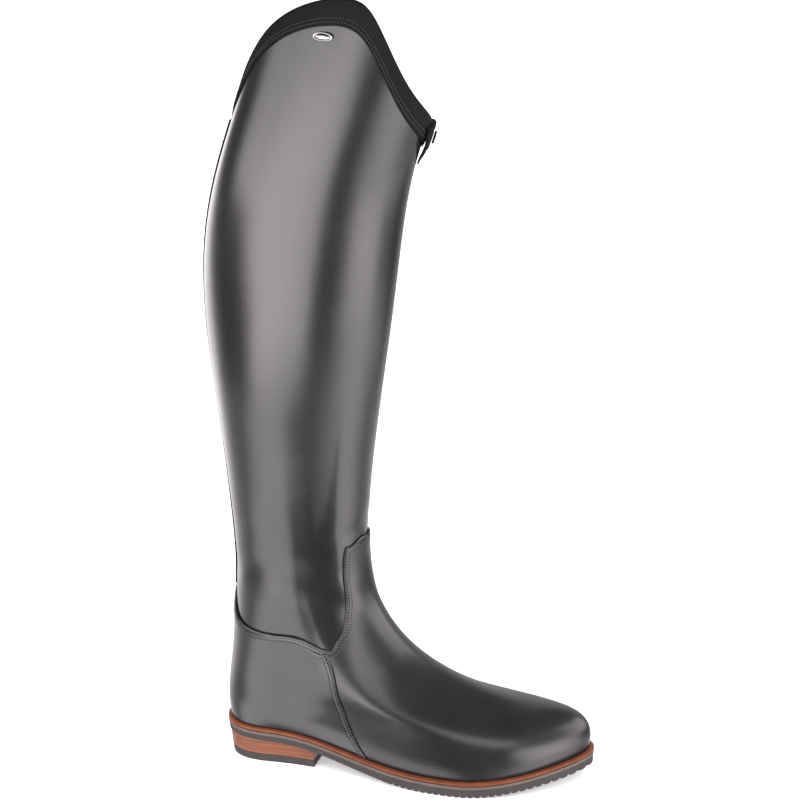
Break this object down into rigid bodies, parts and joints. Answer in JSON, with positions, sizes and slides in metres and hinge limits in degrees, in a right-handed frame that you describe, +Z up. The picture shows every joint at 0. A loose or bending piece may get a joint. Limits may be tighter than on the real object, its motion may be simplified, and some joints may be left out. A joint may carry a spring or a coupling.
{
  "type": "tall riding boot",
  "caption": "Tall black leather dress riding boot with a curved top line, separate vamp and counter, welted sole and low stacked heel.",
  "frame": {"origin": "on the floor, at the middle of the heel's flat underside, 33 mm in front of the back of the heel", "axes": "+Z up the shaft, +X from heel to toe, -Y towards the outer side of the right foot"},
  "size_m": [0.2775, 0.1047, 0.57],
  "materials": {
    "polished_black_leather": "smooth, polished to a high gloss",
    "soft_black_leather": "soft, matte",
    "rust_welt_leather": "smooth cut edge, satin",
    "taupe_midsole_edge": "cut edge, matte",
    "grey_rubber": "matte, fine ribs under the forefoot",
    "tan_stacked_leather": "stacked layers, satin",
    "tan_insole_leather": "smooth, matte",
    "bright_metal": "bright"
  },
  "bodies": {
    "root": {"upper": "polished_black_leather", "vamp": "polished_black_leather", "counter": "polished_black_leather", "back_strip": "soft_black_leather", "top_band": "soft_black_leather", "front_tab": "soft_black_leather", "tab_snap": "soft_black_leather", "side_stud": "bright_metal", "welt": "rust_welt_leather", "midsole": "taupe_midsole_edge", "insole": "tan_insole_leather", "outsole": "grey_rubber", "heel_stack": "tan_stacked_leather", "heel_top_lift": "grey_rubber"}
  },
  "joints": []
}
